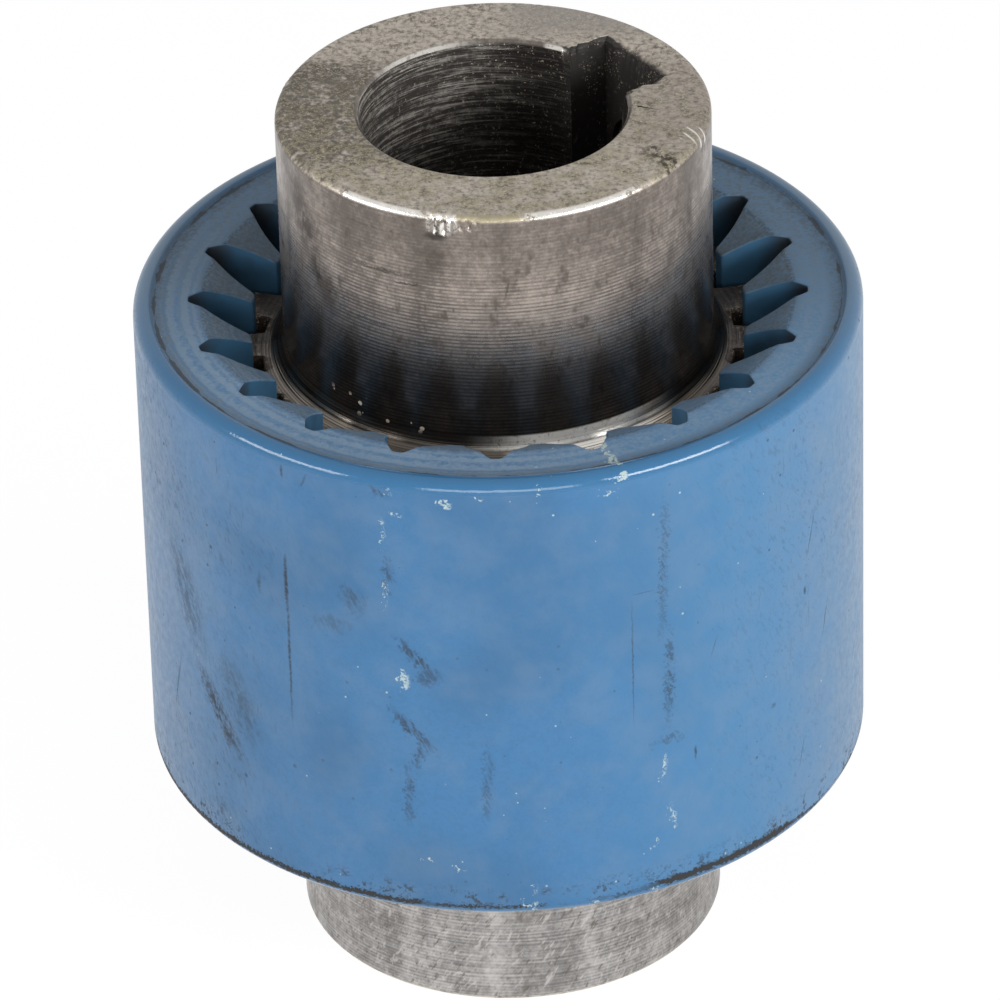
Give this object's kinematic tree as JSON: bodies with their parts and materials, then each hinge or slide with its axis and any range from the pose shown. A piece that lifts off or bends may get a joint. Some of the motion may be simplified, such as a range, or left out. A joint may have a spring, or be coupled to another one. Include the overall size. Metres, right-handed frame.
{
  "type": "shaft coupling",
  "caption": "Curved-tooth gear coupling: two keyed steel hubs with crowned teeth, joined by a plastic sleeve with straight inner teeth.",
  "frame": {"origin": "middle of the sleeve, on the shaft axis, half way between the two hubs", "axes": "+Z along the shaft axis, out of the upper hub; a gap between sleeve teeth lies along +X, and the picture looks along +Y"},
  "size_m": [0.066, 0.066, 0.0842],
  "materials": {
    "sleeve_plastic": "blue moulded polyamide, scuffed and grimy from use",
    "upper_hub_steel": "turned steel, stained grey-brown, with fine feed lines",
    "lower_hub_steel": "turned steel, brushed grey",
    "screw_steel": "blackened steel"
  },
  "bodies": {
    "lower_hub_body": {"lower_hub": "lower_hub_steel"},
    "sleeve_body": {"sleeve": "sleeve_plastic"},
    "upper_hub_body": {"upper_hub": "upper_hub_steel"},
    "upper_screw_body": {"upper_set_screw": "screw_steel"},
    "lower_screw_body": {"lower_set_screw": "screw_steel"}
  },
  "joints": [
    {"name": "sleeve_tilt", "type": "hinge", "parent": "lower_hub_body", "child": "sleeve_body", "pos_m": [0, 0, -0.0098], "axis": [1, 0, 0], "range_deg": [-1, 1]},
    {"name": "upper_hub_slide", "type": "slide", "parent": "sleeve_body", "child": "upper_hub_body", "axis": [0, 0, 1], "range_m": [-0.00065, 0.02]},
    {"name": "upper_screw_travel", "type": "slide", "parent": "upper_hub_body", "child": "upper_screw_body", "axis": [0.809, 0.5878, 0], "range_m": [0, 0.003]},
    {"name": "lower_screw_travel", "type": "slide", "parent": "lower_hub_body", "child": "lower_screw_body", "axis": [0.809, 0.5878, 0], "range_m": [0, 0.003]}
  ]
}
